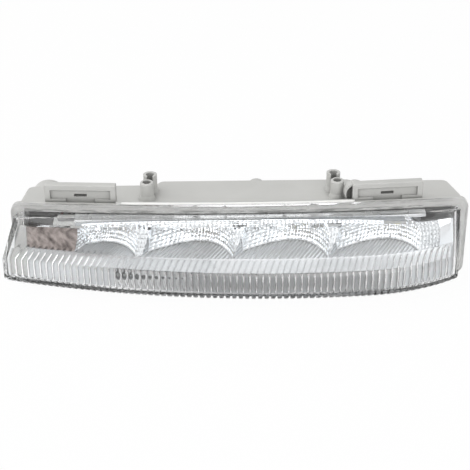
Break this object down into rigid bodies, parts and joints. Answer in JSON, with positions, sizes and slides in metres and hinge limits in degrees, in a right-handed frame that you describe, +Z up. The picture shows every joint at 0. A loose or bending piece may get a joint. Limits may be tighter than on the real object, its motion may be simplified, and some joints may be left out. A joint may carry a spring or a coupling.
{
  "type": "daytime running light",
  "caption": "Slim car lamp with a bowed clear lens, fluted lower band, stepped chrome reflector cells and a grey housing with screw bosses, clip towers and a rear connector turret.",
  "frame": {"origin": "midway between the two screw bosses, on their top faces", "axes": "+Z up along the boss holes, +X along the lamp towards its swept-back outer end, lens facing -Y"},
  "size_m": [0.2412, 0.0766, 0.0535],
  "materials": {
    "housing_grey": "fine moulded grain",
    "lens_clear": "clear polycarbonate",
    "sealant": "cured adhesive",
    "reflector_chrome": "vacuum metallised plastic",
    "carrier_black": "satin",
    "aluminium": "rolled sheet",
    "tape": "matt",
    "board_white": "white solder mask",
    "led": "phosphor under clear resin",
    "board_green": "green solder mask",
    "chip_black": "moulded epoxy",
    "ferrite": "sintered",
    "can": "drawn can",
    "pin_brass": "tinned",
    "wire_red": "insulation",
    "wire_black": "insulation",
    "membrane": "porous film",
    "screw_steel": "zinc plated"
  },
  "bodies": {
    "root": {"housing": "housing_grey", "lens": "lens_clear", "sealant": "sealant", "reflector": "reflector_chrome", "carrier": "carrier_black", "heat_sink": "aluminium", "thermal_tape": "tape", "led_board": "board_white", "led_1": "led", "led_2": "led", "led_3": "led", "led_4": "led", "driver_board": "board_green", "driver_chip": "chip_black", "inductor": "ferrite", "capacitor_1": "can", "capacitor_2": "can", "diode": "chip_black", "pin_1": "pin_brass", "pin_2": "pin_brass", "supply_wire_1": "wire_red", "supply_wire_2": "wire_black", "led_wire_1": "wire_red", "led_wire_2": "wire_black", "vent_membrane": "membrane", "reflector_screws": "screw_steel", "sink_screws": "screw_steel", "carrier_screws": "screw_steel", "driver_screws": "screw_steel"}
  },
  "joints": []
}
